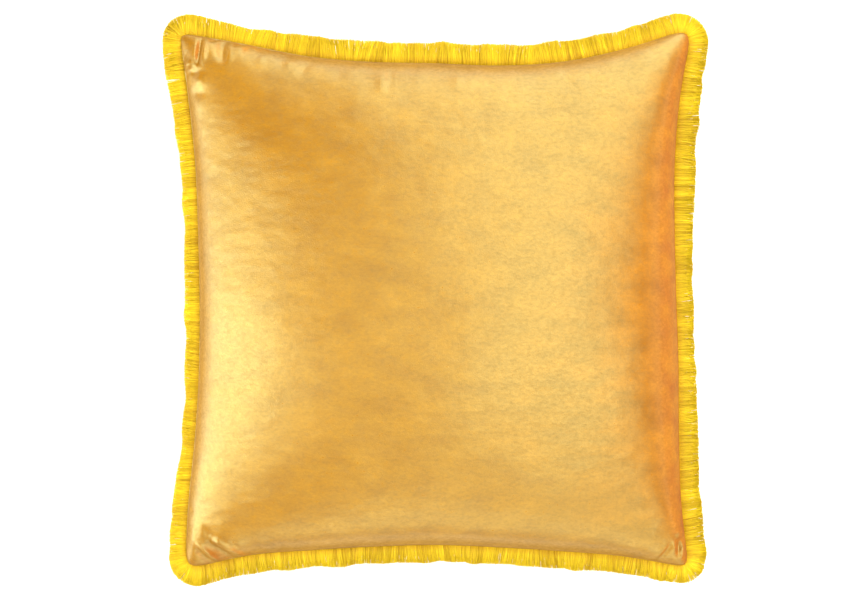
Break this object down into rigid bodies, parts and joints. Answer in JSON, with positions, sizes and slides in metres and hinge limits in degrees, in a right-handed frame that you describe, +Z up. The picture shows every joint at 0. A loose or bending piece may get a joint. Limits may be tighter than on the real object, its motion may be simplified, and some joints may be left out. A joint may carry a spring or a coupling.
{
  "type": "throw pillow",
  "caption": "Square throw pillow: golden velvet cover with concave edges, a yellow brush fringe in the seam, a concealed zip and a fibre-filled insert.",
  "frame": {"origin": "centre of the flat patch that the pillow rests on, under the middle of its bounding box", "axes": "+Z up out of the face, +Y towards the face's top edge, away from the zip, +X to the face's right"},
  "size_m": [0.4699, 0.4853, 0.12],
  "materials": {
    "velvet": "satin",
    "fringe_yarn": "matte",
    "thread": "matte",
    "label": "satin",
    "zip_tape": "matte",
    "zip_coil": "satin",
    "zip_metal": "satin",
    "casing": "matte",
    "casing_thread": "matte",
    "filling": "matte"
  },
  "bodies": {
    "cushion": {"front_panel": "velvet", "back_panel": "velvet", "fringe_header_tape": "fringe_yarn", "fringe_top": "fringe_yarn", "fringe_right": "fringe_yarn", "fringe_bottom": "fringe_yarn", "fringe_left": "fringe_yarn", "fringe_corner_top_left": "fringe_yarn", "fringe_corner_top_right": "fringe_yarn", "fringe_corner_bottom_right": "fringe_yarn", "fringe_corner_bottom_left": "fringe_yarn", "seam_needle_thread": "thread", "seam_bobbin_thread": "thread", "care_label": "label", "zip_tape_front": "zip_tape", "zip_tape_back": "zip_tape", "zip_coil_front": "zip_coil", "zip_coil_back": "zip_coil", "zip_stops": "zip_metal", "zip_stitching": "thread", "insert_casing_front": "casing", "insert_casing_back": "casing", "insert_overlock": "casing_thread", "fibre_filling": "filling"},
    "slider": {"zip_slider_body": "zip_metal", "zip_pull_pin": "zip_metal"},
    "pull": {"zip_pull_tab": "zip_metal"}
  },
  "joints": [
    {"name": "zip_slide", "type": "hinge", "parent": "cushion", "child": "slider", "pos_m": [0, -1.54467, 0.0492], "axis": [0, 0, -1], "range_deg": [0, 12.28]},
    {"name": "pull_swing", "type": "hinge", "parent": "slider", "child": "pull", "pos_m": [-0.14239, -0.22124, 0.0492], "axis": [0, 0, -1], "range_deg": [0, 170]}
  ]
}
